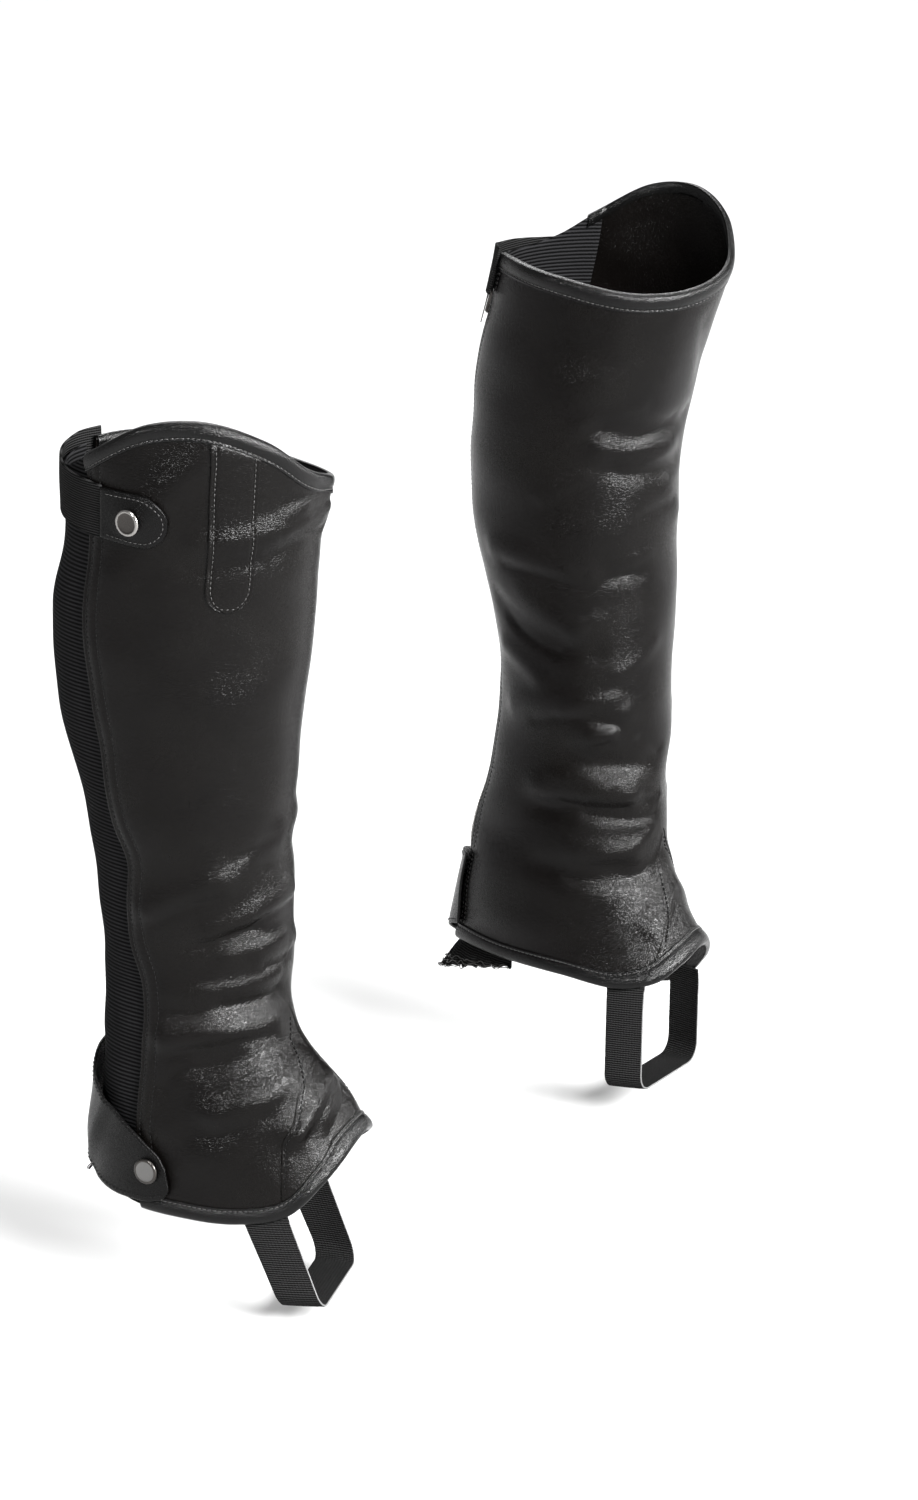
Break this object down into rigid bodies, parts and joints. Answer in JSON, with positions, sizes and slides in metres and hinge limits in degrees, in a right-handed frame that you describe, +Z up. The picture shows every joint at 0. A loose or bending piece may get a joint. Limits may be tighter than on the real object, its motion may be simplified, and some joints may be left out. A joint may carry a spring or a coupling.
{
  "type": "pair of half chaps",
  "caption": "Pair of black leather half chaps as worn: hollow zipped gaiters for the lower leg, with an elastic back panel, snapped straps and elastic stirrups.",
  "frame": {"origin": "middle of the right calf, inside the right chap, where the wearer's leg holds it", "axes": "+X the way the wearer walks, +Y towards the wearer's left, +Z up"},
  "size_m": [0.3901, 0.4657, 0.5557],
  "materials": {
    "leather": "smooth black leather with a soft sheen",
    "binding": "thin glossy black binding leather",
    "elastic": "finely ribbed matte black elastic",
    "webbing": "woven black elastic webbing",
    "zip": "black tape with a metal-coloured chain",
    "dark_steel": "dark nickel press stud and slider",
    "pale_steel": "bright nickel press stud"
  },
  "bodies": {
    "root": {"right_leather_panel": "leather", "right_instep_gusset": "leather", "right_elastic_panel": "elastic", "right_zip": "zip", "right_zip_slider": "dark_steel", "right_top_binding": "binding", "right_hem_binding": "binding", "right_top_strap": "webbing", "right_strap_end": "leather", "right_top_snap": "dark_steel", "right_ankle_tab": "leather", "right_ankle_snap": "pale_steel", "right_side_patch": "leather", "right_stirrup": "elastic", "right_heel_gather": "elastic", "left_leather_panel": "leather", "left_instep_gusset": "leather", "left_elastic_panel": "elastic", "left_zip": "zip", "left_zip_slider": "dark_steel", "left_top_binding": "binding", "left_hem_binding": "binding", "left_top_strap": "webbing", "left_strap_end": "leather", "left_top_snap": "dark_steel", "left_ankle_tab": "leather", "left_ankle_snap": "pale_steel", "left_side_patch": "leather", "left_stirrup": "elastic", "left_heel_gather": "elastic"}
  },
  "joints": []
}
